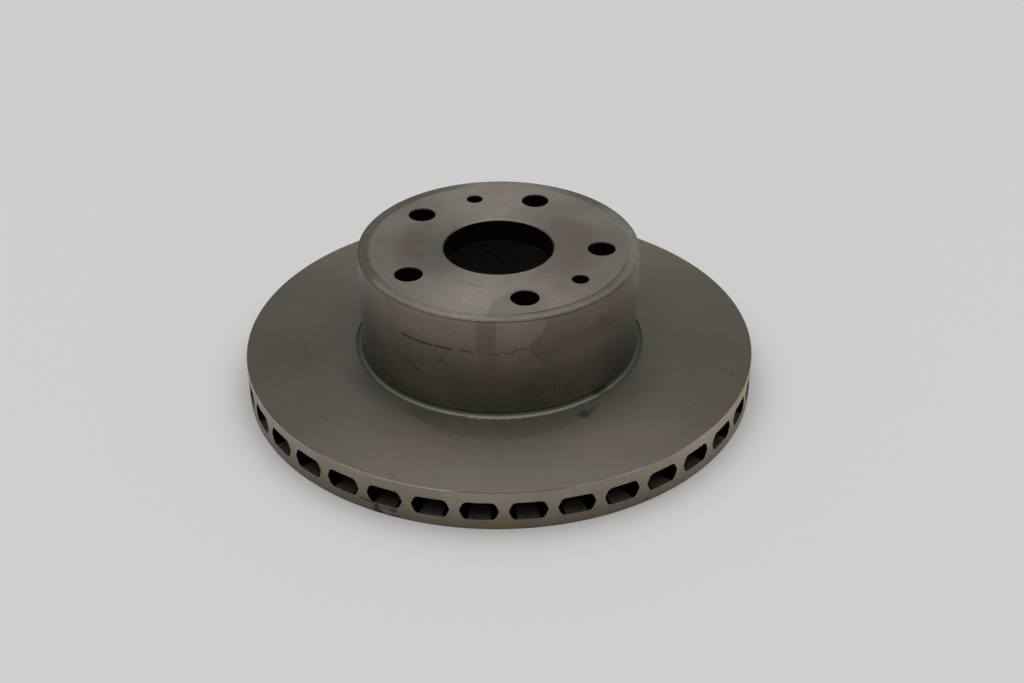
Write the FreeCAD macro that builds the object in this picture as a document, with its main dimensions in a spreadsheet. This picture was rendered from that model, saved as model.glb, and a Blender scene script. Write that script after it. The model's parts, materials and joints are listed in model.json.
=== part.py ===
"""Ventilated brake disc, cast in one piece and turned: hat, two friction plates, and vanes between them.

Millimetres. The disc lies as it rests, hat up: the inboard friction face is at z = 0, the wheel
mounting face at z = total_height, and the origin is on the axis. The first wheel bolt hole is at -Y.
"""
import FreeCAD, Part
import math
import os

import Sketcher

# Driving dimensions, each one written once: name, value, what it measures.
SIZES = [
    ("disc_diameter", 272, "outer diameter of both friction plates"),
    ("disc_thickness", 22, "over both friction faces"),
    ("outboard_plate", 6.2, "plate that carries the hat"),
    ("inboard_plate", 5.6, "plate that only the vanes carry"),
    ("inboard_edge_gap", 4.7, "radially from the hat's outside to the inner edge of the inboard plate"),
    ("inboard_chamfer", 1, "on both inner edges of the inboard plate"),
    ("rim_chamfer", 0.2, "turned break on the two rim edges"),
    ("total_height", 78.2, "inboard face to wheel mounting face"),
    ("hat_diameter", 147.6, "turned outside of the hat"),
    ("hat_wall", 7.4, "wall of the hat, at its top"),
    ("hat_draft", 1.5, "draft of the cast inside, in degrees"),
    ("hat_top_thickness", 13, "wheel face to machined hub seat"),
    ("hat_edge_chamfer", 0.2, "outer corner of the hat"),
    ("hat_band", 5.6, "width of the lower band round the wheel mounting face"),
    ("wheel_face_step", 0.1, "height of that face over the band"),
    ("hub_seat_clearance", 0.4, "radially from the bevel inside the hat to the machined hub seat"),
    ("hub_seat_depth", 0.6, "cut into the cast ceiling for that seat"),
    ("hat_corner", 4, "cast bevel inside the hat, between wall and ceiling"),
    ("elbow_bevel", 4, "cast bevel from the hat wall to the outboard plate"),
    ("groove_depth", 0.9, "of the relief groove at the foot of the hat, below the friction face"),
    ("groove_flat", 1.2, "floor of that groove outside the fillet"),
    ("root_fillet", 2.5, "turned fillet from that groove up the hat wall"),
    ("root_land", 1.3, "height of the land above that fillet"),
    ("root_land_step", 0.2, "radial step from the hat wall to that land"),
    ("bore_diameter", 58, "centring bore on the hub"),
    ("bore_chamfer", 0.8, "on the wheel side of the bore"),
    ("bolt_circle", 108, "pitch circle of wheel bolts and retaining screws"),
    ("bolt_count", 5, "wheel bolt holes"),
    ("bolt_hole_diameter", 14.8, "wheel bolt hole"),
    ("retaining_hole_diameter", 9, "retaining screw hole"),
    ("retaining_angle", 108, "from the first bolt hole to each retaining hole, in degrees"),
    ("vane_count", 36, "radial vanes, with as many vents between them"),
    ("vane_thickness", 4.5, "at the waist, half way up the vent"),
    ("vane_draft", 21.5, "from the waist to either plate, in degrees"),
    ("vane_root_radius", 3, "cast corner between vane and plate"),
    ("vane_phase", 8.8, "angle of the first vane, in degrees"),
    ("vane_setback", 3.5, "from the inner edge of the inboard plate to the inner ends of the vanes"),
    ("vane_foot_gap", 1.2, "least flat between the feet of neighbouring vanes, at their inner ends"),
    ("turning_allowance", 4, "cast metal outside the rim that the lathe takes off"),
]

document = FreeCAD.newDocument("brake_disc")
sheet = document.addObject("Spreadsheet::Sheet", "Sizes")
for row, (alias, value, note) in enumerate(SIZES, start=1):
    sheet.set(f"A{row}", note)
    sheet.set(f"B{row}", str(value))
    sheet.setAlias(f"B{row}", alias)
document.recompute()

disc = document.addObject("PartDesign::Body", "brake_disc")
disc.Label = "brake_disc"

# Places that several features share, as formulas on the sheet.
AXIS = "0"
DISC_RADIUS = "Sizes.disc_diameter / 2"
HAT_RADIUS = "(Sizes.hat_diameter / 2)"
BORE_RADIUS = "Sizes.bore_diameter / 2"
OUTBOARD_FACE = "Sizes.disc_thickness"
OUTBOARD_UNDERSIDE = "(Sizes.disc_thickness - Sizes.outboard_plate)"
INBOARD_TOP = "Sizes.inboard_plate"
INBOARD_INNER_RADIUS = f"({HAT_RADIUS} + Sizes.inboard_edge_gap)"
VENT_HEIGHT = f"({OUTBOARD_UNDERSIDE} - {INBOARD_TOP})"
VENT_MIDDLE = f"({OUTBOARD_UNDERSIDE} + {INBOARD_TOP}) / 2"
ROOT_HALF_WIDTH = (f"(Sizes.vane_thickness / 2 + Sizes.vane_root_radius * cos(Sizes.vane_draft * 1deg)"
                   f" + ({VENT_HEIGHT} / 2 - Sizes.vane_root_radius"
                   f" * (1 - sin(Sizes.vane_draft * 1deg))) * tan(Sizes.vane_draft * 1deg))")
# The vanes start a setback in from the inboard plate's edge, but never so far in that their feet meet.
VANES_APART = f"({ROOT_HALF_WIDTH} + Sizes.vane_foot_gap / 2) / tan(180deg / Sizes.vane_count)"
VANE_START = f"max({INBOARD_INNER_RADIUS} + Sizes.vane_setback; {VANES_APART})"
WHEEL_FACE = "Sizes.total_height"
WHEEL_FACE_RADIUS = f"({HAT_RADIUS} - Sizes.hat_band)"
HAT_BAND = "(Sizes.total_height - Sizes.wheel_face_step)"
HUB_SEAT = "(Sizes.total_height - Sizes.hat_top_thickness)"
CAST_CEILING = f"({HUB_SEAT} - Sizes.hub_seat_depth)"
HAT_INNER_RADIUS = f"({HAT_RADIUS} - Sizes.hat_wall)"
HUB_SEAT_RADIUS = f"({HAT_INNER_RADIUS} - Sizes.hat_corner - Sizes.hub_seat_clearance)"
ELBOW_RADIUS = (f"({HAT_INNER_RADIUS}"
                f" + ({CAST_CEILING} - {OUTBOARD_UNDERSIDE}) * tan(Sizes.hat_draft * 1deg))")
LAND_RADIUS = f"({HAT_RADIUS} + Sizes.root_land_step)"
GROOVE_RADIUS = f"({LAND_RADIUS} + Sizes.root_fillet + Sizes.groove_flat)"
GROOVE_FLOOR = "(Sizes.disc_thickness - Sizes.groove_depth)"
LAND_TOP = f"({GROOVE_FLOOR} + Sizes.root_fillet + Sizes.root_land)"
CUT_RADIUS = "(Sizes.disc_diameter / 2 + 2 * Sizes.turning_allowance)"
CUT_FOOT = "Sizes.inboard_plate / 2"
CUT_TOP = "(Sizes.disc_thickness - Sizes.outboard_plate / 2)"


def measure(formula):
    """The number that a formula on the sheet gives now."""
    result = sheet.evalExpression(formula)
    return float(getattr(result, "Value", result))


def origin_feature(role):
    """The body's own origin plane or axis of that role."""
    return next(feature for feature in disc.Origin.OriginFeatures if feature.Role == role)


def new_sketch(name, role):
    """A sketch of the body on one of its origin planes."""
    sketch = disc.newObject("Sketcher::SketchObject", name)
    sketch.AttachmentSupport = (origin_feature(role), [""])
    sketch.MapMode = "FlatFace"
    return sketch


def point(across, up):
    """A sketch point at two formulas."""
    return FreeCAD.Vector(measure(across), measure(up), 0)


def line(sketch, start, end, construction=False):
    """A straight line of the sketch; gives its index."""
    return sketch.addGeometry(Part.LineSegment(start, end), construction)


def circle_at(centre, radius):
    """A circle in the sketch's plane."""
    return Part.Circle(centre, FreeCAD.Vector(0, 0, 1), radius)


def arc(sketch, centre, start, end):
    """An anticlockwise arc of the sketch, by its centre and its two ends; gives its index."""
    first, last = start - centre, end - centre
    turn = math.atan2(first.y, first.x)
    sweep = (math.atan2(last.y, last.x) - turn) % (2 * math.pi)
    return sketch.addGeometry(Part.ArcOfCircle(circle_at(centre, first.Length), turn, turn + sweep), False)


def join(sketch, kind, *ends):
    """Constrain geometry of the sketch, without a dimension."""
    sketch.addConstraint(Sketcher.Constraint(kind, *ends))


def bind(sketch, name, formula, kind, *ends):
    """Add a named dimension to the sketch and tie it to a formula on the sheet."""
    value = measure(formula)
    index = sketch.addConstraint(Sketcher.Constraint(kind, *ends, value))
    sketch.renameConstraint(index, name)
    sketch.setExpression(f"Constraints.{name}", formula)


def bind_angle(sketch, name, formula, *ends):
    """The same for an angle, whose formula is in degrees."""
    index = sketch.addConstraint(Sketcher.Constraint("Angle", *ends, math.radians(measure(formula))))
    sketch.renameConstraint(index, name)
    sketch.setExpression(f"Constraints.{name}", f"({formula}) * 1deg")


def draw_outline(sketch, corners):
    """A closed outline of straight lines through named corners: (name, formula across, formula up)."""
    points = [point(across, up) for _, across, up in corners]
    count = len(corners)
    for index in range(count):
        line(sketch, points[index], points[(index + 1) % count])
    for index in range(count):
        join(sketch, "Coincident", index, 2, (index + 1) % count, 1)
    for index, (name, across, up) in enumerate(corners):
        if index > 0 and across == corners[index - 1][1]:
            join(sketch, "Vertical", index - 1)
        else:
            bind(sketch, f"{name}_across", across, "DistanceX", -1, 1, index, 1)
        if index > 0 and up == corners[index - 1][2]:
            join(sketch, "Horizontal", index - 1)
        else:
            bind(sketch, f"{name}_up", up, "DistanceY", -1, 1, index, 1)


def draw_circle(sketch, name, diameter):
    """A circle about the origin, of a bound diameter."""
    circle = sketch.addGeometry(circle_at(FreeCAD.Vector(), measure(diameter) / 2), False)
    join(sketch, "Coincident", circle, 3, -1, 1)
    bind(sketch, f"{name}_diameter", diameter, "Diameter", circle)


def draw_hole(sketch, name, diameter, pitch_diameter, angle):
    """A circle of a bound diameter, on a bound pitch circle at a bound angle in degrees."""
    turn = math.radians(measure(angle))
    centre = FreeCAD.Vector(math.cos(turn), math.sin(turn), 0) * (measure(pitch_diameter) / 2)
    circle = sketch.addGeometry(circle_at(centre, measure(diameter) / 2), False)
    spoke = line(sketch, FreeCAD.Vector(), centre, construction=True)
    join(sketch, "Coincident", spoke, 1, -1, 1)
    join(sketch, "Coincident", spoke, 2, circle, 3)
    bind(sketch, f"{name}_pitch", f"{pitch_diameter} / 2", "Distance", spoke)
    bind_angle(sketch, f"{name}_angle", angle, spoke)
    bind(sketch, f"{name}_diameter", diameter, "Diameter", circle)


def draw_vane_section(sketch):
    """The waisted section of a vane: four straight flanks, each ending in a root arc at its plate."""
    waist = measure("Sizes.vane_thickness / 2")
    middle = measure(VENT_MIDDLE)
    root_radius = measure("Sizes.vane_root_radius")
    draft = math.radians(measure("Sizes.vane_draft"))
    root_width = measure(ROOT_HALF_WIDTH)
    levels = {1: measure(OUTBOARD_UNDERSIDE), -1: measure(INBOARD_TOP)}
    # Quarter by quarter, clockwise from the upper right: a root arc and a flank each.
    quarters = [(1, 1), (1, -1), (-1, -1), (-1, 1)]
    feet, flank_ends, arcs, flanks = [], [], [], []
    for side, above in quarters:
        foot = FreeCAD.Vector(side * root_width, levels[above], 0)
        centre = foot - FreeCAD.Vector(0, above * root_radius, 0)
        towards_flank = FreeCAD.Vector(-side * math.cos(draft), above * math.sin(draft), 0)
        flank_end = centre + towards_flank * root_radius
        starts_at_foot = side * above > 0
        arcs.append(arc(sketch, centre, *((foot, flank_end) if starts_at_foot else (flank_end, foot))))
        flanks.append(line(sketch, flank_end, FreeCAD.Vector(side * waist, middle, 0)))
        feet.append((arcs[-1], 1 if starts_at_foot else 2, foot))
        flank_ends.append((arcs[-1], 2 if starts_at_foot else 1))
    top = line(sketch, feet[3][2], feet[0][2])
    bottom = line(sketch, feet[1][2], feet[2][2])
    for index in range(4):
        join(sketch, "Tangent", *flank_ends[index], flanks[index], 1)
    for straight, (start, end) in ((top, (3, 0)), (bottom, (1, 2))):
        join(sketch, "Tangent", *feet[start][:2], straight, 1)
        join(sketch, "Tangent", *feet[end][:2], straight, 2)
        join(sketch, "Horizontal", straight)
    for upper, lower in ((0, 1), (3, 2)):
        join(sketch, "Coincident", flanks[upper], 2, flanks[lower], 2)
    join(sketch, "Symmetric", flanks[0], 2, flanks[3], 2, -2)
    for other in arcs[1:]:
        join(sketch, "Equal", arcs[0], other)
    bind(sketch, "root_radius", "Sizes.vane_root_radius", "Radius", arcs[0])
    bind(sketch, "waist_across", "Sizes.vane_thickness / 2", "DistanceX", -1, 1, flanks[0], 2)
    bind(sketch, "waist_up", VENT_MIDDLE, "DistanceY", -1, 1, flanks[0], 2)
    bind(sketch, "top_up", OUTBOARD_UNDERSIDE, "DistanceY", -1, 1, top, 2)
    bind(sketch, "bottom_up", INBOARD_TOP, "DistanceY", -1, 1, bottom, 1)
    bind_angle(sketch, "flank_upper_right", "-90 - Sizes.vane_draft", flanks[0])
    bind_angle(sketch, "flank_lower_right", "90 + Sizes.vane_draft", flanks[1])
    bind_angle(sketch, "flank_lower_left", "90 - Sizes.vane_draft", flanks[2])
    bind_angle(sketch, "flank_upper_left", "-90 + Sizes.vane_draft", flanks[3])


def volume():
    """The body's volume so far."""
    return disc.Shape.Volume if disc.Tip and not disc.Shape.isNull() else 0


def made(feature, before, sign):
    """Recompute, and make sure that the feature added (+1) or removed (-1) metal."""
    document.recompute()
    if "Invalid" in feature.State or (volume() - before) * sign <= 0:
        raise RuntimeError(f"{feature.Name}: volume went from {before:.1f} to {volume():.1f}")
    return feature


def revolved(kind, name, sketch, sign):
    """A full turn of a sketch about the disc's axis, added or cut."""
    before = volume()
    feature = disc.newObject(f"PartDesign::{kind}", name)
    feature.Profile = sketch
    feature.ReferenceAxis = (sketch, ["V_Axis"])
    feature.Angle = 360
    return made(feature, before, sign)


def extruded(kind, name, sketch, length, sign):
    """A sketch pushed along its normal by a length, added or cut."""
    before = volume()
    feature = disc.newObject(f"PartDesign::{kind}", name)
    feature.Profile = sketch
    feature.setExpression("Length", length)
    return made(feature, before, sign)


def repeated(name, originals, count, sign):
    """Features repeated evenly about the disc's axis."""
    before = volume()
    pattern = disc.newObject("PartDesign::PolarPattern", name)
    pattern.Originals = originals
    pattern.Axis = (origin_feature("Z_Axis"), [""])
    pattern.Angle = 360
    pattern.setExpression("Occurrences", count)
    disc.Tip = pattern
    return made(pattern, before, sign)


def round_edges(places):
    """Names of the body's circular edges about its axis at (radius formula, height formula) places."""
    wanted = [(measure(radius), measure(height)) for radius, height in places]
    names = []
    for index, edge in enumerate(disc.Shape.Edges, start=1):
        curve = edge.Curve
        if not isinstance(curve, Part.Circle) or math.hypot(curve.Center.x, curve.Center.y) > 1e-4:
            continue
        if any(math.isclose(curve.Radius, radius, abs_tol=1e-4)
               and math.isclose(curve.Center.z, height, abs_tol=1e-4) for radius, height in wanted):
            names.append(f"Edge{index}")
    if len(names) < len(wanted):
        raise RuntimeError(f"found {len(names)} of {len(wanted)} edges at {wanted}")
    return names


def dressed(kind, name, edges, size, sign):
    """A fillet or chamfer of a bound size on named edges of the last feature."""
    before, base = volume(), disc.Tip
    feature = disc.newObject(f"PartDesign::{kind}", name)
    feature.Base = (base, edges)
    feature.setExpression("Radius" if kind == "Fillet" else "Size", size)
    return made(feature, before, sign)


# Hat and outboard plate, one turned section.
hat_section = new_sketch("hat_section", "XZ_Plane")
draw_outline(hat_section, [
    ("bore_foot", BORE_RADIUS, HUB_SEAT),
    ("bore_top", BORE_RADIUS, WHEEL_FACE),
    ("face_edge", WHEEL_FACE_RADIUS, WHEEL_FACE),
    ("face_foot", WHEEL_FACE_RADIUS, HAT_BAND),
    ("hat_edge", HAT_RADIUS, HAT_BAND),
    ("wall_foot", HAT_RADIUS, LAND_TOP),
    ("land_edge", LAND_RADIUS, LAND_TOP),
    ("land_foot", LAND_RADIUS, GROOVE_FLOOR),
    ("groove_foot", GROOVE_RADIUS, GROOVE_FLOOR),
    ("groove_edge", GROOVE_RADIUS, OUTBOARD_FACE),
    ("rim_top", DISC_RADIUS, OUTBOARD_FACE),
    ("rim_foot", DISC_RADIUS, OUTBOARD_UNDERSIDE),
    ("elbow", ELBOW_RADIUS, OUTBOARD_UNDERSIDE),
    ("ceiling_corner", HAT_INNER_RADIUS, CAST_CEILING),
    ("seat_edge", HUB_SEAT_RADIUS, CAST_CEILING),
    ("seat_corner", HUB_SEAT_RADIUS, HUB_SEAT),
])
revolved("Revolution", "hat_and_outboard_plate", hat_section, 1)
dressed("Fillet", "root_fillet", round_edges([(LAND_RADIUS, GROOVE_FLOOR)]), "Sizes.root_fillet", 1)
dressed("Chamfer", "elbow_bevel", round_edges([(ELBOW_RADIUS, OUTBOARD_UNDERSIDE)]), "Sizes.elbow_bevel", -1)
dressed("Chamfer", "hat_corner", round_edges([(HAT_INNER_RADIUS, CAST_CEILING)]), "Sizes.hat_corner", 1)
dressed("Chamfer", "hat_edge_chamfer", round_edges([(HAT_RADIUS, HAT_BAND)]), "Sizes.hat_edge_chamfer", -1)
dressed("Chamfer", "bore_chamfer", round_edges([(BORE_RADIUS, WHEEL_FACE)]), "Sizes.bore_chamfer", -1)

# Wheel bolt holes and the two retaining screw holes, through the top of the hat and the bevel under it.
FIRST_BOLT = "-90"
DRILL_DEPTH = f"{WHEEL_FACE} - {CAST_CEILING} + Sizes.hat_corner"
bolt_hole_outline = new_sketch("bolt_hole_outline", "XY_Plane")
bolt_hole_outline.setExpression("AttachmentOffset.Base.z", WHEEL_FACE)
draw_hole(bolt_hole_outline, "bolt", "Sizes.bolt_hole_diameter", "Sizes.bolt_circle", FIRST_BOLT)
bolt_hole = extruded("Pocket", "bolt_hole", bolt_hole_outline, DRILL_DEPTH, -1)
repeated("bolt_holes", [bolt_hole], "Sizes.bolt_count", -1)

retaining_outline = new_sketch("retaining_outline", "XY_Plane")
retaining_outline.setExpression("AttachmentOffset.Base.z", WHEEL_FACE)
for side, angle in (("right", f"{FIRST_BOLT} + Sizes.retaining_angle"),
                    ("left", f"{FIRST_BOLT} - Sizes.retaining_angle")):
    draw_hole(retaining_outline, side, "Sizes.retaining_hole_diameter", "Sizes.bolt_circle", angle)
extruded("Pocket", "retaining_holes", retaining_outline, DRILL_DEPTH, -1)

# One vane, waisted half way up where the mould parts, and filleted into both plates.
vane_section = new_sketch("vane_section", "YZ_Plane")
turn_about_axis = FreeCAD.Rotation(FreeCAD.Vector(0, 1, 0), measure("Sizes.vane_phase"))
vane_section.AttachmentOffset = FreeCAD.Placement(FreeCAD.Vector(), turn_about_axis)
vane_section.setExpression("AttachmentOffset.Rotation.Angle", "Sizes.vane_phase * 1deg")
vane_section.setExpression("AttachmentOffset.Base.x", f"{VANE_START} * sin(Sizes.vane_phase * 1deg)")
vane_section.setExpression("AttachmentOffset.Base.z", f"{VANE_START} * cos(Sizes.vane_phase * 1deg)")

draw_vane_section(vane_section)

vane = extruded("Pad", "vane", vane_section, f"{DISC_RADIUS} + Sizes.turning_allowance - {VANE_START}", 1)
repeated("vanes", [vane], "Sizes.vane_count", 1)

# Inboard plate, which only the vanes carry.
inboard_ring = new_sketch("inboard_ring", "XY_Plane")
draw_circle(inboard_ring, "outer", "Sizes.disc_diameter")
draw_circle(inboard_ring, "inner", f"2 * {INBOARD_INNER_RADIUS}")
extruded("Pad", "inboard_plate", inboard_ring, INBOARD_TOP, 1)

# The rim is turned after casting, which trims the vanes flush with both plates.
rim_cut = new_sketch("rim_cut", "XZ_Plane")
draw_outline(rim_cut, [
    ("inner_foot", DISC_RADIUS, CUT_FOOT),
    ("inner_top", DISC_RADIUS, CUT_TOP),
    ("outer_top", CUT_RADIUS, CUT_TOP),
    ("outer_foot", CUT_RADIUS, CUT_FOOT),
])
revolved("Groove", "turned_rim", rim_cut, -1)
dressed("Chamfer", "rim_chamfer", round_edges([(DISC_RADIUS, AXIS), (DISC_RADIUS, OUTBOARD_FACE)]),
        "Sizes.rim_chamfer", -1)
dressed("Chamfer", "inboard_chamfer",
        round_edges([(INBOARD_INNER_RADIUS, AXIS), (INBOARD_INNER_RADIUS, INBOARD_TOP)]),
        "Sizes.inboard_chamfer", -1)

# Nothing is written unless every feature and the whole body are sound.
for feature in document.Objects:
    if "Invalid" in feature.State or "Error" in feature.State:
        raise RuntimeError(f"{feature.Name} is {feature.State}")
if disc.Shape.isNull() or not disc.Shape.isValid() or len(disc.Shape.Solids) != 1:
    raise RuntimeError("the brake disc is not one valid solid")
os.makedirs("parts", exist_ok=True)
disc.Shape.exportStep("parts/brake_disc.step")
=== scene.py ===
import json
import math

import bpy
from mathutils import Matrix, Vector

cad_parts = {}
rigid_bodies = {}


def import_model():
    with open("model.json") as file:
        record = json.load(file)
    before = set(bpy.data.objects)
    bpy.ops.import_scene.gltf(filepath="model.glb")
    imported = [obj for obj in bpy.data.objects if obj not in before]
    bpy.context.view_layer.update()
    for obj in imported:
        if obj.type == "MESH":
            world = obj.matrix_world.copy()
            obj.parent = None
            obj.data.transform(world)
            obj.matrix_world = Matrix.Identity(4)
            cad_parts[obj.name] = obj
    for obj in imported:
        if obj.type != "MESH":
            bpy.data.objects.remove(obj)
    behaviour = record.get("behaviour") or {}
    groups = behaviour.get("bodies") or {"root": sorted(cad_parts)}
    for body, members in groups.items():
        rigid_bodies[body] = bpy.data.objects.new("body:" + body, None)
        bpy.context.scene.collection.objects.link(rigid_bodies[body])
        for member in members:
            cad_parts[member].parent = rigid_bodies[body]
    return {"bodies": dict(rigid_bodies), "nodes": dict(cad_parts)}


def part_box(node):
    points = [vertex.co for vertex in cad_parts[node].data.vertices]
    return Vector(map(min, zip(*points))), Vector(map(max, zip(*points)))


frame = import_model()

DISC = frame["nodes"]["brake_disc"]
MM = 0.001


def remove_startup_objects():
    """Nothing but the frame stays in the scene."""
    kept = set(frame["nodes"].values()) | set(frame["bodies"].values())
    for thing in list(bpy.data.objects):
        if thing not in kept:
            bpy.data.objects.remove(thing)


remove_startup_objects()
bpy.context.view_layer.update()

# Sizes of the disc, in millimetres. Angles are as the photograph shows them: 0 is the side towards the
# camera, and they grow towards the picture's right. x is to the picture's right, and y away from the camera.
(_, _, FOOT), (_, _, TOP) = (tuple(corner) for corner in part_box("brake_disc"))
WHEEL_FACE = TOP / MM
RIM_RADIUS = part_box("brake_disc")[1][0] / MM
OUTBOARD_FACE = 22.0
HAT_RADIUS = 73.8
WHEEL_FACE_RADIUS = 68.2
BORE_RADIUS = 29.0
GROOVE_RADIUS = 77.7
VENT_FLOOR, VENT_CEILING = 5.6, 15.8
HUB_SEAT = 65.2
CHAMFER_FOOT = 77.4

# Colours of the iron in its zones, before stains and marks.
FACE_COLOUR = (0.161, 0.148, 0.1235)
ROOT_COLOUR = (0.20, 0.187, 0.150)
WALL_COLOUR = (0.250, 0.219, 0.178)
HAT_TOP_COLOUR = (0.212, 0.194, 0.163)
RIM_COLOUR = (0.282, 0.243, 0.192)
CAST_COLOUR = (0.16, 0.148, 0.128)
# The walls of the holes and vents are nearly black: painted shade in these recesses, with some grime in the
# vents.
HOLE_SHADE_COLOUR = (0.009, 0.0085, 0.008)
VENT_SHADE_AND_GRIME_COLOUR = (0.004, 0.0038, 0.0036)

# The table, and the brightness of the studio near the horizon and overhead.
TABLE_SIZE = 6.0
TABLE_GAP = 0.1 * MM
TABLE_COLOUR = (206, 207, 207)
LOW_LIGHT, OVERHEAD_LIGHT = 0.33, 1.88

# The photograph's camera.
LENS = 54.245
SENSOR = 36.0
CAMERA_DISTANCE = 0.851
CAMERA_ELEVATION = math.radians(34.145)
CAMERA_TURN = math.radians(58.19)
CAMERA_PAN, CAMERA_TILT, CAMERA_ROLL = -0.0082, -0.0180, -0.0090


def make_camera():
    """The camera stands at its distance from the disc's foot, and looks a little past it."""
    data = bpy.data.cameras.new("camera")
    data.lens = LENS
    data.sensor_width = SENSOR
    data.sensor_fit = "HORIZONTAL"
    camera = bpy.data.objects.new("camera", data)
    bpy.context.scene.collection.objects.link(camera)
    place = Matrix.Translation((0, -CAMERA_DISTANCE * math.cos(CAMERA_ELEVATION),
                                CAMERA_DISTANCE * math.sin(CAMERA_ELEVATION)))
    camera.matrix_world = (
        Matrix.Rotation(CAMERA_TURN, 4, "Z") @ place
        @ Matrix.Rotation(math.pi / 2 - CAMERA_ELEVATION, 4, "X")
        @ Matrix.Rotation(CAMERA_PAN, 4, "Y") @ Matrix.Rotation(-CAMERA_TILT, 4, "X")
        @ Matrix.Rotation(CAMERA_ROLL, 4, "Z"))
    bpy.context.scene.camera = camera


def linear(red, green, blue):
    """A colour written as it looks, 0 to 255, as the shader wants it."""
    return tuple(((value / 255 + 0.055) / 1.055) ** 2.4 for value in (red, green, blue)) + (1,)


class Field:
    """A number or colour that varies over a surface: the output of a node. + - * / chain further nodes."""

    def __init__(self, tree, socket):
        self.tree = tree
        self.socket = socket

    def node(self, kind, *values, output=0, **settings):
        """A new node of that kind, its inputs filled in order by fields or plain values."""
        node = self.tree.nodes.new(kind)
        for name, value in settings.items():
            setattr(node, name, value)
        for slot, value in zip(node.inputs, values):
            if isinstance(value, Field):
                self.tree.links.new(value.socket, slot)
            elif value is not None:
                slot.default_value = value
        return Field(self.tree, node.outputs[output])

    def math(self, operation, *values):
        return self.node("ShaderNodeMath", self, *values, operation=operation)

    def __add__(self, other):
        return self.math("ADD", other)

    __radd__ = __add__

    def __sub__(self, other):
        return self.math("SUBTRACT", other)

    def __rsub__(self, other):
        return self.math("MULTIPLY_ADD", -1.0, other)

    def __mul__(self, other):
        return self.math("MULTIPLY", other)

    __rmul__ = __mul__

    def __truediv__(self, other):
        return self.math("DIVIDE", other)

    def ramp(self, start, end, low=0.0, high=1.0):
        """low up to start and high from end on, smooth between; start may be the larger."""
        if start > end:
            start, end, low, high = end, start, high, low
        return self.node("ShaderNodeMapRange", self, start, end, low, high, interpolation_type="SMOOTHSTEP")

    def between(self, low, high, soft):
        """1 from low to high, and 0 beyond, over a soft edge."""
        return self.ramp(low - soft / 2, low + soft / 2) * self.ramp(high + soft / 2, high - soft / 2)

    def both(self, other):
        return self.math("MINIMUM", other)

    def either(self, other):
        return self.math("MAXIMUM", other)

    def blend(self, other, amount, kind="MIX"):
        """This colour with another, by an amount that varies."""
        mix = self.tree.nodes.new("ShaderNodeMix")
        mix.data_type = "RGBA"
        mix.blend_type = kind
        for slot, value in ((mix.inputs["Factor"], amount), (mix.inputs[6], self), (mix.inputs[7], other)):
            if isinstance(value, Field):
                self.tree.links.new(value.socket, slot)
            else:
                slot.default_value = value
        return Field(self.tree, mix.outputs[2])

    def stained(self, mask, red, green=None, blue=None):
        """This colour, times a tint where the mask is 1."""
        return self.blend((red, green or red, blue or red, 1), mask, "MULTIPLY")

    def darkened(self, marks):
        """This colour under dark marks, each a mask and the share of the colour that it leaves."""
        amount = marks[0][0] * (1 - marks[0][1])
        for mask, left in marks[1:]:
            amount = amount.either(mask * (1 - left))
        return self.blend((0, 0, 0, 1), amount)

    def scaled(self, factor):
        """This colour times a number that varies from 0 to 2."""
        doubled = self.blend((2, 2, 2, 1), 1.0, "MULTIPLY")
        return doubled.blend((0, 0, 0, 1), factor.math("MULTIPLY_ADD", -0.5, 1.0))


SOCKETS = {"vector": "NodeSocketVector", "colour": "NodeSocketColor"}


def make_group(name, inputs, outputs, build):
    """A node group. build gets its tree and its inputs as fields, and returns its outputs as fields."""
    group = bpy.data.node_groups.new(name, "ShaderNodeTree")
    for labels, side in ((inputs, "INPUT"), (outputs, "OUTPUT")):
        for label in labels:
            group.interface.new_socket(label, in_out=side, socket_type=SOCKETS.get(label, "NodeSocketFloat"))
    entry = group.nodes.new("NodeGroupInput")
    results = build(group, *(Field(group, socket) for socket in list(entry.outputs)[:len(inputs)]))
    leaving = group.nodes.new("NodeGroupOutput")
    for result, socket in zip(results, leaving.inputs):
        group.links.new(result.socket, socket)
    return group


def build_place(tree):
    """The place on the disc, in millimetres and in the photograph's directions."""
    coordinates = tree.nodes.new("ShaderNodeTexCoord")
    start = Field(tree, coordinates.outputs["Object"])
    place = start.node("ShaderNodeMapping", start, (0, 0, 0), (0, 0, -CAMERA_TURN), (1 / MM,) * 3)
    split = tree.nodes.new("ShaderNodeSeparateXYZ")
    tree.links.new(place.socket, split.inputs[0])
    x, y, z = (Field(tree, output) for output in split.outputs)
    radius = (x * x + y * y).math("SQRT")
    angle = x.math("ARCTAN2", y * -1.0) * math.degrees(1)
    # The renderer holds only about 250 numbers at a time. A shift too small to see, which has to wait
    # for a noise, makes it work out the marks one after another.
    round_about = x.node("ShaderNodeCombineXYZ", radius, angle, z)
    shift = x.node("ShaderNodeGroup", round_about, 1.0, 0.0, 0.5, 0.0, node_tree=NOISE) * 1e-7
    late = [field + shift for field in (x, y, z, radius, angle)]
    point = x.node("ShaderNodeCombineXYZ", *late[:3])
    return point, radius, angle, z, *late


def build_noise(tree, vector, size, detail, roughness, seed):
    """Smooth noise from -1 to 1, mostly within 0.4, with features of about that size."""
    node = tree.nodes.new("ShaderNodeTexNoise")
    node.noise_dimensions = "4D"
    for label, field in (("Vector", vector), ("W", seed), ("Scale", size.math("POWER", -1.0)),
                         ("Detail", detail), ("Roughness", roughness)):
        tree.links.new(field.socket, node.inputs[label])
    return [Field(tree, node.outputs["Fac"]) * 2.0 - 1.0]


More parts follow.
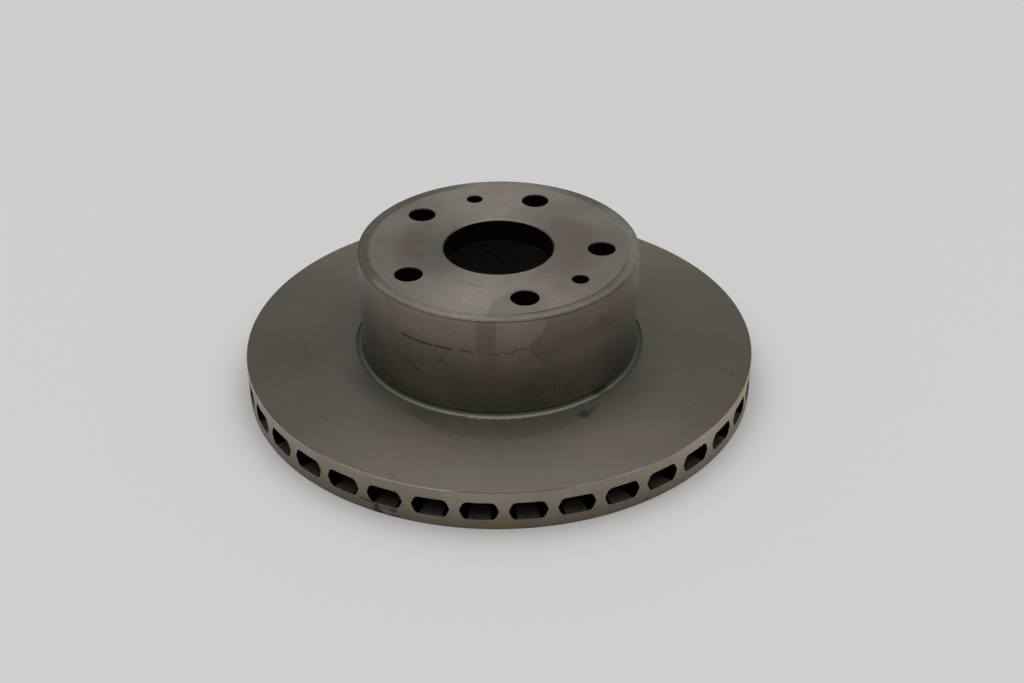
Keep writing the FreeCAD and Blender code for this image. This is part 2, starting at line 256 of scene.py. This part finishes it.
def build_spot(tree, u, v, centre_u, centre_v, half_u, half_v, turn, soft, ragged, size, seed):
    """1 inside an oval about a centre in (u, v), and 0 outside, with an edge made ragged by noise."""
    across, along = u - centre_u, v - centre_v
    turned, other = turn.math("COSINE"), turn.math("SINE")
    first = (across * turned + along * other) / half_u
    second = (along * turned - across * other) / half_v
    reach = (first * first + second * second).math("SQRT") + Surface(tree).noise(size, seed=seed) * ragged
    half_soft = soft * 0.5
    return [reach.node("ShaderNodeMapRange", reach, 1.0 - half_soft, half_soft + 1.0, 1.0, 0.0,
                       interpolation_type="SMOOTHSTEP")]


def build_stroke(tree, u, v, start_u, start_v, ahead_u, ahead_v, length, width, soft, wavy, size, seed):
    """1 along a straight line in (u, v), with wavy sides and ends that fade."""
    across, along = u - start_u, v - start_v
    forth = across * ahead_u + along * ahead_v
    aside = along * ahead_u - across * ahead_v + Surface(tree).noise(size, seed=seed) * wavy
    aside = aside.math("ABSOLUTE") / (width * 0.5)
    side = aside.node("ShaderNodeMapRange", aside, 1.0 - soft, soft + 1.0, 1.0, 0.0,
                      interpolation_type="SMOOTHSTEP")
    part = forth / length
    return [side * part.between(0, 1, 0.15)]


class Surface:
    """Places on the disc for the nodes of one tree, and what is drawn by them."""

    def __init__(self, tree):
        self.tree = tree
        place = tree.nodes.new("ShaderNodeGroup")
        place.node_tree = PLACE
        self.point, *self.rings, self.x, self.y, self.z, self.radius, self.angle = (
            Field(tree, output) for output in place.outputs)

    def arc(self, radius):
        """The way round at that radius."""
        return self.angle * math.radians(radius)

    def colour(self, red, green, blue):
        """A plain colour to start from."""
        node = self.tree.nodes.new("ShaderNodeRGB")
        node.outputs[0].default_value = (red, green, blue, 1)
        return Field(self.tree, node.outputs[0])

    def polar(self, radius, angle, z):
        """Radius, angle and height, each times a number, for noise that follows the turning."""
        scaled = [field * factor for field, factor in zip(self.rings, (radius, angle, z))]
        return self.x.node("ShaderNodeCombineXYZ", *scaled)

    def zone(self, group):
        """The colour that a group without inputs gives."""
        return self.x.node("ShaderNodeGroup", node_tree=group)

    def noise(self, size, detail=2.0, roughness=0.5, vector=None, seed=0.0):
        """Smooth noise about 0 at this place, or at another vector."""
        return self.x.node("ShaderNodeGroup", vector or self.point, size, detail, roughness, seed,
                           node_tree=NOISE)

    def spot(self, u, v, centre, half, turn=0.0, soft=0.5, ragged=0.0, size=4.0, seed=0.0):
        """A mask for an oval place, turned by degrees."""
        return self.x.node("ShaderNodeGroup", u, v, *centre, *half, math.radians(turn), soft, ragged,
                           size, seed, node_tree=SPOT)

    def spots(self, u, v, table, *shape):
        """Dark marks from rows of centre, half size and the share of the colour that is left."""
        return [(self.spot(u, v, centre, half, *shape), left) for centre, half, left in table]

    def stroke(self, u, v, start, end, width, soft=0.6, wavy=0.0, size=3.0, seed=0.0):
        """A mask for a line between two places."""
        length = math.dist(start, end)
        ahead = ((end[0] - start[0]) / length, (end[1] - start[1]) / length)
        return self.x.node("ShaderNodeGroup", u, v, *start, *ahead, length, width, soft, wavy, size, seed,
                           node_tree=STROKE)


NOISE = make_group("noise", ("vector", "size", "detail", "roughness", "seed"), ("value",), build_noise)
PLACE = make_group(
    "place", (), ("vector", "ring radius", "ring angle", "ring z", "x", "y", "z", "radius", "angle"),
    build_place)
SPOT = make_group(
    "spot",
    ("u", "v", "centre u", "centre v", "half u", "half v", "turn", "soft", "ragged", "size", "seed"),
    ("mask",), build_spot)
STROKE = make_group(
    "stroke",
    ("u", "v", "start u", "start v", "ahead u", "ahead v", "length", "width", "soft", "wavy", "size",
     "seed"),
    ("mask",), build_stroke)


def new_material(name):
    """A material with nothing but a Principled shader, and that shader."""
    material = bpy.data.materials.new(name)
    material.use_nodes = True
    return material, material.node_tree.nodes["Principled BSDF"]


def make_floor():
    """A plain pale table."""
    bpy.ops.mesh.primitive_plane_add(size=TABLE_SIZE, location=(0, 0, FOOT - TABLE_GAP))
    floor = bpy.context.object
    floor.name = "floor"
    material, shader = new_material("floor")
    shader.inputs["Base Color"].default_value = linear(*TABLE_COLOUR)
    shader.inputs["Roughness"].default_value = 0.6
    floor.data.materials.append(material)


def make_light():
    """Soft studio light from overhead, and dimmer towards the horizon."""
    world = bpy.data.worlds.new("studio")
    bpy.context.scene.world = world
    world.use_nodes = True
    tree = world.node_tree
    background = tree.nodes["Background"]
    coordinates = tree.nodes.new("ShaderNodeTexCoord")
    split = tree.nodes.new("ShaderNodeSeparateXYZ")
    tree.links.new(coordinates.outputs["Generated"], split.inputs[0])
    height = Field(tree, split.outputs[2])
    shade = height.ramp(0.5, 1.0, LOW_LIGHT, OVERHEAD_LIGHT)
    tree.links.new(shade.socket, background.inputs["Color"])


def grain(on, amount):
    """The uneven tone of iron: broad clouds, mottling and fine grain, about 1."""
    clouds = on.noise(38, 2) * 0.16
    mottling = on.noise(9, 3, 0.6, seed=3) * 0.12
    fine = on.noise(1.3, 2, 0.6, seed=7) * 0.22
    return (clouds + mottling + fine) * amount + 1.0


def turned_marks(on, amount):
    """Fine rings that the lathe left, about 1."""
    rings = on.noise(1.0, 3, 0.7, on.polar(2.2, 0.012, 2.2), 11)
    return rings * amount + 1.0


# Places on the hat's top: centre, half size and, for the dark ones, the share of the colour that is left.
BROWN_PLACES = (((-47, 1), (8, 5)), ((-52, 41), (6, 6)), ((0, 62), (9, 4)), ((-45, -6), (4, 7)))
HAT_TOP_BLOTS = (
    ((-61, 6), (4, 5), 0.84),
    ((19, 36), (15, 9), 0.88),
    ((-50, 12), (13, 12), 0.91),
    ((38, 20), (9, 16), 0.93),
)
# Dark stretches of the band: first angle, last angle and the share of the colour that is left.
BAND_PATCHES = ((-165, -62, 0.63), (124, 152, 0.72), (18, 62, 0.85))


def paint_hat_top(on):
    """The wheel mounting face and the rougher band round it."""
    x, y, radius, angle = on.x, on.y, on.radius, on.angle
    colour = on.colour(*HAT_TOP_COLOUR)
    colour = colour.stained(on.spot(x, y, (-27, -47), (25, 17), -32, 0.9, 0.3, 9), 1.16)
    # Worn round the front bolt hole, with a sharp curved edge on its left.
    edge = on.spot(x, y, (28.1, -74), (35.4, 35.4), 0, 0.045, 0.02, 5)
    colour = colour.stained(edge.both(on.spot(x, y, (6, -60), (17, 17), 0, 0.7, 0.25, 6)), 0.80)
    # Painted sheen: paler towards the left and right sides.
    side = (angle.math("ABSOLUTE") - 90.0).math("ABSOLUTE").ramp(50, 15)
    colour = colour.stained(side, 1.20)
    colour = colour.stained(radius.ramp(44, 62).both(side), 1.40, 1.40, 1.42)
    right_sheen = (angle - 85).math("ABSOLUTE").ramp(50, 15)
    colour = colour.stained(radius.ramp(60, 40).both(right_sheen), 1.16, 1.09, 1.07)
    colour = colour.stained(on.spot(x, y, (36, -52), (16, 9), 35, 0.7, 0.3, 7), 1.10, 1.08, 1.06)
    colour = colour.stained(on.spot(x, y, (25.5, -38), (10.5, 3.2), 62, 0.9, 0.3, 5), 1.12, 1.03, 0.98)
    for centre, half in BROWN_PLACES:
        colour = colour.stained(on.spot(x, y, centre, half, 20, 1.0, 0.4, 5), 1.02, 0.93, 0.88)
    marks = on.spots(x, y, HAT_TOP_BLOTS, 25, 1.0, 0.4, 8)
    marks.append((on.stroke(x, y, (-24, -34), (-8.5, -41.5), 1.6, 0.9, 0.8, seed=2), 0.78))
    colour = colour.darkened(marks)
    # The band: rough, with dark patches, painted shade as a dark line along the small step at its inner
    # edge, and a painted highlight as a bright line near the corner.
    band = radius.ramp(WHEEL_FACE_RADIUS - 0.3, WHEEL_FACE_RADIUS + 0.3)
    rough = on.noise(2.2, 3, 0.7, on.polar(1.6, 0.7, 0.0), 17)
    colour = colour.scaled((rough * 0.35 - 0.07) * band + 1.0)
    at_band = radius.ramp(67.6, 69.4)
    ragged = angle + rough * 6
    colour = colour.darkened([(ragged.between(low, high, 14).both(at_band), left)
                              for low, high, left in BAND_PATCHES])
    colour = colour.stained(ragged.between(76, 106, 14).both(at_band), 1.25)
    # Painted shade of the small step at the band's inner edge.
    line = (radius - WHEEL_FACE_RADIUS + rough * 0.3).math("ABSOLUTE").ramp(0.9, 0.2)
    colour = colour.stained(line.both(angle.between(8, 75, 8)), 0.66)
    colour = colour.stained(line.both(angle.between(-125, -60, 14)), 0.84)
    # Painted highlight near the corner.
    corner_highlight = (radius - 71.7 + rough * 0.5).math("ABSOLUTE").ramp(0.9, 0.2)
    colour = colour.stained(corner_highlight.both(angle.between(-62, 60, 16)), 1.35)
    colour = colour.stained(radius.ramp(72.2, 72.9), 0.84)
    nicks = on.noise(1.6, 2, 0.6, on.polar(1.0, 1.1, 0.0), 23).ramp(0.15, 0.35)
    colour = colour.stained(nicks.both(radius.ramp(72.7, 73.2)).both(angle.between(-50, 30, 10)), 0.55)
    # Painted highlight: the bore's chamfer shines.
    colour = colour.stained(radius.ramp(BORE_RADIUS + 1.0, BORE_RADIUS + 0.7), 1.25)
    return colour.scaled(grain(on, 1.0) * turned_marks(on, 0.10))


# Scuffs on the friction face: start, end, width and the share of the colour that is left.
FACE_SCUFFS = (
    ((-34.5, -83), (-24, -92.5), 1.4, 0.84),
    ((-92, -73), (-70, -87), 1.8, 0.91),
    ((-122, 26), (-109, 6), 2.0, 0.93),
    ((-109, 0), (-97, -30), 2.6, 0.92),
    ((-113, -8), (-104, -34), 2.0, 0.94),
    ((-118, 8), (-112, -20), 2.4, 0.94),
    ((-101, -20), (-90, -44), 2.6, 0.95),
    ((-54, -120), (-49, -124), 2.0, 0.84),
)
# Centre, half size and, for the pits, the share of the colour that is left.
FACE_PITS = (
    ((97, -69), (1.0, 1.2), 0.72),
    ((122, -39), (1.2, 1.6), 0.76),
    ((-30, -124), (0.7, 1.2), 0.72),
    ((28, -102), (0.8, 1.0), 0.85),
)
WARM_PLACES = (((-40, -104), (22, 12)), ((60, -98), (20, 10)), ((104, 20), (10, 26)), ((-100, 30), (14, 22)))


def paint_friction_face(on):
    """The ring that the pads run on."""
    x, y, radius, angle = on.x, on.y, on.radius, on.angle
    colour = on.colour(*FACE_COLOUR)
    # Painted shade of the hat: darker in front of it, with an edge that follows it, and beside it at the
    # front left.
    hat_shade = on.spot(x, y, (0, -36.8), (57, 57), 0, 0.05, 0.02, 8)
    colour = colour.stained(hat_shade.both(y.ramp(-60, -72)), 0.80)
    colour = colour.stained(radius.ramp(94, 80).both(angle.between(-70, -22, 16)), 0.84, 0.84, 0.88)
    # Painted sheen: paler at the left and right sides.
    colour = colour.stained((angle.math("ABSOLUTE") - 85.0).math("ABSOLUTE").ramp(34, 14), 1.18)
    # Painted shade: darker beside the hat on the right.
    colour = colour.stained(radius.ramp(104, 84).both(angle.between(26, 66, 16)), 0.88)
    # A dark blot beside the hat's foot.
    colour = colour.stained(on.spot(x, y, (42.6, -73.2), (2.9, 3.6), -20, 0.6, 0.5, 3), 0.50, 0.50, 0.53)
    colour = colour.stained(on.spot(x, y, (47.2, -69.6), (1.6, 3.0), -30, 0.8, 0.5, 3), 0.74)
    marks = [(on.stroke(x, y, start, end, width, 0.9, 1.6, 8, start[0]), left)
             for start, end, width, left in FACE_SCUFFS]
    marks += on.spots(x, y, FACE_PITS, 0, 0.8, 0.3, 1.5)
    colour = colour.darkened(marks)
    for centre, half in WARM_PLACES:
        colour = colour.stained(on.spot(x, y, centre, half, 10, 1.4, 0.5, 12), 1.04, 0.99, 0.97)
    # Stains of old oil near the rim, and a darker line along the outer edge on the left.
    colour = colour.stained(radius.ramp(129, 135).both(angle.between(48, 112, 26)), 1.08, 0.97, 0.84)
    colour = colour.stained(radius.ramp(130.5, 134.5).both(angle.between(118, 138, 9)), 1.12, 1.05, 0.60)
    colour = colour.stained(radius.ramp(134.9, 135.6).both(angle.between(-175, 12, 30)), 0.9)
    return colour.scaled(grain(on, 0.62) * turned_marks(on, 0.07))


# Where the lap line of the casting shows: first angle, last angle, width, waviness and the share of the
# colour that is left.
LAP_HEIGHTS = (59.8, 59.4)
LAP_LINES = (
    (-41.5, -26.8, 1.0, 0.5, 0.30),
    (-26.0, -18.4, 1.0, 0.5, 0.34),
    (-16.0, -9.8, 0.8, 0.5, 0.40),
    (44.5, 49.0, 0.8, 1.0, 0.66),
    (48.0, 53.5, 0.8, 1.0, 0.70),
)
# Lines from one angle and height to another, and the share of the colour that is left.
LAP_TEARS = (
    ((-3.2, 58.4), (1.2, 59.8), 0.62),
    ((1.2, 59.2), (5.2, 59.2), 0.55),
    ((4.2, 59.0), (7.6, 61.6), 0.50),
    ((7.6, 61.6), (10.4, 61.2), 0.62),
)
SCRATCHES = (
    ((-43, 45.2), (-38.5, 46.6), 0.70),
    ((-38.5, 46.4), (-36, 43.4), 0.56),
    ((-36, 43.6), (-32, 40.8), 0.56),
    ((-46, 49), (-43, 45.4), 0.80),
)
# Centre and half size, each as angle and height, and the share of the colour that is left.
WALL_BLOTS = (
    ((44, 66), (2.4, 3), 0.84),
    ((47, 63), (2, 2), 0.86),
    ((29, 33), (2.5, 4.5), 0.86),
    ((12, 36), (6, 5), 0.90),
    ((-47, 28), (3, 3), 0.85),
)


def paint_wall(on):
    """The outside of the hat, with painted shade darker downwards, its cast flaws and the tide marks of old
    moisture.
    """
    arc, z, angle = on.arc(HAT_RADIUS), on.z, on.angle
    per_degree = math.radians(HAT_RADIUS)

    def line(start, end, *shape):
        """A line between two places, each an angle and a height."""
        return on.stroke(arc, z, (start[0] * per_degree, start[1]), (end[0] * per_degree, end[1]), *shape)

    colour = on.colour(*WALL_COLOUR)
    colour = colour.stained(angle.ramp(4, 24).both(z.ramp(50, 60)), 0.82, 0.79, 0.82)
    # Painted shade: darker and cooler towards the left side.
    colour = colour.stained(angle.ramp(-52, -72), 0.80, 0.80, 0.90)
    colour = colour.stained(on.spot(angle, z, (33, 71), (16, 5), 0, 1.0, 0.5, 7), 1.12, 1.02, 1.0)
    wavy = on.noise(6, 2, seed=31)
    # Paler at the upper left, then a dark stripe, then a pale edge that slants down to the left.
    colour = colour.stained((angle + wavy).between(-42, -8.6, 2.5).both(z.ramp(58, 66)), 1.15, 1.14, 1.10)
    colour = colour.stained((angle + wavy * 0.4).between(-8.6, -1.5, 1.2).both(z.ramp(55, 62)), 0.87)
    slant = (angle + 8.6 + (z - 51) * 0.95).between(0, 40, 1.0)
    left_of_stripe = slant.both(angle.ramp(-7.9, -9.0))
    colour = colour.stained(left_of_stripe.both(z.between(50, 59, 1.5)), 1.18, 1.15, 1.12)
    # A pale tide mark whose right edge bulges.
    bulge = (z - 61).math("ABSOLUTE").ramp(0, 11, 11, 17.5)
    inside = (bulge - angle + wavy * 1.2).ramp(-0.6, 0.6)
    pale = inside.both(angle.ramp(-2.5, 0.5)).both(z.between(49, 77, 3))
    colour = colour.stained(pale, 1.17, 1.15, 1.12)
    beyond = (bulge - angle + wavy * 1.2).between(-4.0, -0.2, 1.5)
    colour = colour.stained(beyond.both(z.between(52, 74, 5)), 0.9)
    # Yellowish below it.
    colour = colour.stained(on.spot(angle, z, (1.5, 50.5), (9.5, 6.5), 0, 0.8, 0.4, 7), 1.08, 0.99, 0.90)
    colour = colour.stained(on.spot(angle, z, (-2, 44), (5.5, 5), 0, 0.9, 0.4, 7), 1.08, 0.98, 0.86)
    # Paler low on the right and on the left.
    colour = colour.stained(angle.between(24, 46, 16).both(z.ramp(64, 54)), 1.24, 1.22, 1.20)
    colour = colour.stained(angle.between(-50, -20, 12).both(z.ramp(50, 42)), 1.17, 1.16, 1.14)
    # The broken lap line of the casting, and scratches below it.
    first_z, last_z = LAP_HEIGHTS
    marks = [(line((start, first_z), (end, last_z), width, 0.7, wave, 2.0, start), left)
             for start, end, width, wave, left in LAP_LINES]
    marks += [(line(start, end, 0.9, 0.8, 1.2, 1.6), left) for start, end, left in LAP_TEARS]
    marks += [(line(start, end, 1.3, 0.8, 0.8, 2), left) for start, end, left in SCRATCHES]
    marks.append((on.spot(angle, z, (-23.2, 52), (1.6, 0.6), 0, 0.6, 0.3, 1.5), 0.55))
    marks += [(on.spot(angle, z, centre, half, 0, 0.9, 0.5, 4, half[0]), left)
              for centre, half, left in WALL_BLOTS]
    colour = colour.darkened(marks)
    # Under the corner: a dark ragged line.
    ragged = z + on.noise(1.6, 2, 0.7, on.polar(0.0, 1.29, 0.4), 37) * 0.5
    colour = colour.stained(ragged.between(77.1, 77.9, 0.3).both(angle.between(-84, 66, 24)), 0.55)
    colour = colour.stained(ragged.between(75.2, 77.2, 0.8).both(angle.between(-52, 45, 16)), 1.07)
    streaks = on.noise(2.4, 2, 0.5, on.polar(0.0, 1.29, 0.09), 29)
    # Painted shade: darker towards the foot of the wall; the streaks are the turning's own.
    shade_and_streaks = z.ramp(36, 86, 0.46, 1.02) * (streaks * z.ramp(60, 35, 0.05, 0.16) + 1.0)
    return colour.scaled(grain(on, 0.8) * shade_and_streaks)


def paint_root(on):
    """The land, fillet and groove at the foot of the hat."""
    colour = on.colour(*ROOT_COLOUR)
    # Painted highlight: the fillet is darkened above and below a narrow line near its foot, so it shines
    # only along that line.
    colour = colour.stained(on.z.ramp(21.5, 21.2), 0.60)
    colour = colour.stained(on.z.ramp(21.7, 22.1), 0.58)
    # The land: painted shade below, and a painted highlight along its top edge.
    colour = colour.stained(on.z.between(23.4, 24.75, 0.3), 0.7)
    colour = colour.stained(on.z.between(24.7, 24.95, 0.1), 1.6)
    colour = colour.stained(on.spot(on.angle, on.z, (44, 23), (4, 2), 0, 0.8, 0.4, 2), 0.5)
    return colour.scaled(grain(on, 0.6) * turned_marks(on, 0.08))


# First angle, last angle and tint of the brown stains low on the rim.
RIM_STAINS = (
    (-4.5, 4.0, (1.12, 0.96, 0.76)),
    (-29, -24, (1.1, 0.95, 0.80)),
    (16, 24, (1.06, 0.98, 0.86)),
    (34, 40, (1.06, 0.96, 0.84)),
)
# Smears on the rim: centre, half size, turn in degrees and the share of the colour that is left.
SMEARS = (
    ((-28.4, 5.4), (1.9, 0.7), -12, 0.45),
    ((-26.2, 3.2), (0.8, 2.0), 0, 0.35),
    ((-26.0, 0.9), (1.3, 0.7), 0, 0.25),
    ((-24.4, 4.3), (1.2, 0.5), 0, 0.50),
    ((-22.4, 4.0), (0.9, 1.3), 0, 0.40),
    ((-22.0, 0.6), (1.0, 0.6), 0, 0.35),
)
# Centre, half size and the share of the colour that is left.
RIM_PITS = (
    ((31.5, 1.6), (0.3, 0.9), 0.5),
    ((26.6, 4.0), (0.5, 0.6), 0.7),
    ((-20.2, 9.0), (0.3, 0.5), 0.7),
)
# Dark stretches of the rim's upper edge: first angle, last angle and the share that is left.
DARK_EDGES = ((-60, -40, 0.40), (-9.5, 14, 0.34), (30, 41, 0.50))


def paint_rim(on):
    """The turned rim, with painted shade darker towards its foot and below the slots, and with its stains.
    """
    angle, z = on.angle, on.z
    colour = on.colour(*RIM_COLOUR)
    # Painted sheen: paler towards the left and right sides.
    colour = colour.stained(angle.ramp(26, 46), 1.34)
    colour = colour.stained(angle.ramp(-34, -50), 1.22, 1.20, 1.24)
    colour = colour.stained(on.spot(angle, z, (-20, 17), (9, 6), 0, 0.8, 0.5, 6), 0.88)
    wavy = on.noise(5, 2, seed=43)
    for low, high, tint in RIM_STAINS:
        colour = colour.stained((angle + wavy).between(low, high, 3).both(z.ramp(7.5, 4.5)), *tint)
    # Painted shade: darker along the foot, where the rim meets the table.
    colour = colour.stained(z.ramp(1.1, 0.3), 0.7)
    # Smears under the slot at the left, and small pits.
    marks = [(on.spot(angle, z, centre, half, turn, 0.8, 0.5, 1.6), left)
             for centre, half, turn, left in SMEARS]
    marks += on.spots(angle, z, RIM_PITS, 0, 0.8, 0.3, 1.5)
    colour = colour.darkened(marks)
    # The upper edge is dark in some places, and bright with a painted highlight in others.
    edge = z + on.noise(1.5, 2, 0.6, on.polar(0.0, 0.71, 0.0), 47) * 0.25
    dark_top = edge.ramp(21.5, 21.75)
    colour = colour.darkened([(dark_top.both((angle + wavy).between(low, high, 4)), left)
                              for low, high, left in DARK_EDGES])
    # Painted highlight along the upper edge.
    pale = (angle + wavy).between(-35, -10, 5).either((angle + wavy).between(24, 34, 4))
    colour = colour.stained(edge.ramp(21.2, 21.7).both(pale), 1.35)
    streaks = on.noise(3.0, 3, 0.6, on.polar(0.0, 0.83, 2.4), 41)
    # Painted shade darker towards the foot and a painted highlight paler near the top; the streaks are the
    # turning's own.
    shade_and_streaks = z.ramp(1, 15, 0.62, 1.0) * z.ramp(12, 22, 1.0, 1.15) * (streaks * 0.10 + 1.0)
    return colour.scaled(grain(on, 0.9) * shade_and_streaks)


def make_iron():
    """Grey cast iron: turned outside, raw cast in the vents and inside the hat."""
    material, shader = new_material("cast_iron")
    tree = material.node_tree
    on = Surface(tree)
    tangent = tree.nodes.new("ShaderNodeTangent")
    tangent.direction_type = "RADIAL"
    tangent.axis = "Z"
    tree.links.new(tangent.outputs[0], shader.inputs["Tangent"])
    zones = [on.zone(make_group(paint.__name__, (), ("colour",), lambda tree: [paint(Surface(tree))]))
             for paint in (paint_friction_face, paint_root, paint_wall, paint_hat_top, paint_rim)]
    face, root, wall, hat_top, rim = zones
    colour = face.blend(root, on.radius.ramp(GROOVE_RADIUS + 0.02, GROOVE_RADIUS - 0.02))
    colour = colour.blend(wall, on.radius.ramp(HAT_RADIUS + 0.1, HAT_RADIUS + 0.05))
    colour = colour.blend(hat_top, on.z.ramp(WHEEL_FACE - 0.25, WHEEL_FACE - 0.15))
    at_rim = on.radius.ramp(RIM_RADIUS - 0.25, RIM_RADIUS - 0.15)
    colour = colour.blend(rim, at_rim.both(on.z.ramp(OUTBOARD_FACE, OUTBOARD_FACE - 0.1)))
    # Cast surfaces, and the walls of the holes and vents, painted nearly black as painted shade of these
    # recesses, with some grime in the vents.
    vent = on.z.between(VENT_FLOOR, VENT_CEILING, 0.05)
    vent = vent.both(on.radius.ramp(RIM_RADIUS - 0.02, RIM_RADIUS - 0.08))
    below_chamfer = on.z.ramp(CHAMFER_FOOT + 0.05, CHAMFER_FOOT - 0.05)
    inside = on.radius.ramp(HAT_RADIUS - 2, HAT_RADIUS - 2.5).both(below_chamfer)
    drilled = inside.both(on.z.ramp(HUB_SEAT - 0.05, HUB_SEAT + 0.05))
    cast = vent.either(inside).both(on.z.ramp(0.05, 0.15))
    sand = on.noise(2.5, 4, 0.7, seed=53) * 0.8 + 1.0
    colour = colour.blend(on.colour(*CAST_COLOUR).scaled(sand), cast)
    colour = colour.blend(on.colour(*HOLE_SHADE_COLOUR).scaled(sand), drilled)
    colour = colour.blend(on.colour(*VENT_SHADE_AND_GRIME_COLOUR).scaled(sand), vent)
    tree.links.new(colour.socket, shader.inputs["Base Color"])
    shader.inputs["Metallic"].default_value = 1.0
    rough = cast.ramp(0, 1, 0.42, 0.9) + on.noise(5, 3, 0.6, seed=59) * 0.05
    tree.links.new(rough.socket, shader.inputs["Roughness"])
    tree.links.new(cast.ramp(0, 1, 0.85, 0.0).socket, shader.inputs["Anisotropic"])
    shader.inputs["Anisotropic Rotation"].default_value = 0.25
    # Shallow relief: the lathe's rings, and the grain.
    relief = on.noise(0.7, 3, 0.6, seed=61) * 0.6 + turned_marks(on, 0.5)
    bump = tree.nodes.new("ShaderNodeBump")
    bump.inputs["Strength"].default_value = 0.25
    bump.inputs["Distance"].default_value = 0.02 * MM
    tree.links.new(relief.socket, bump.inputs["Height"])
    tree.links.new(bump.outputs[0], shader.inputs["Normal"])
    return material


make_camera()
make_floor()
make_light()
DISC.material_slots[0].material = make_iron()

bpy.context.scene.view_settings.view_transform = "Standard"
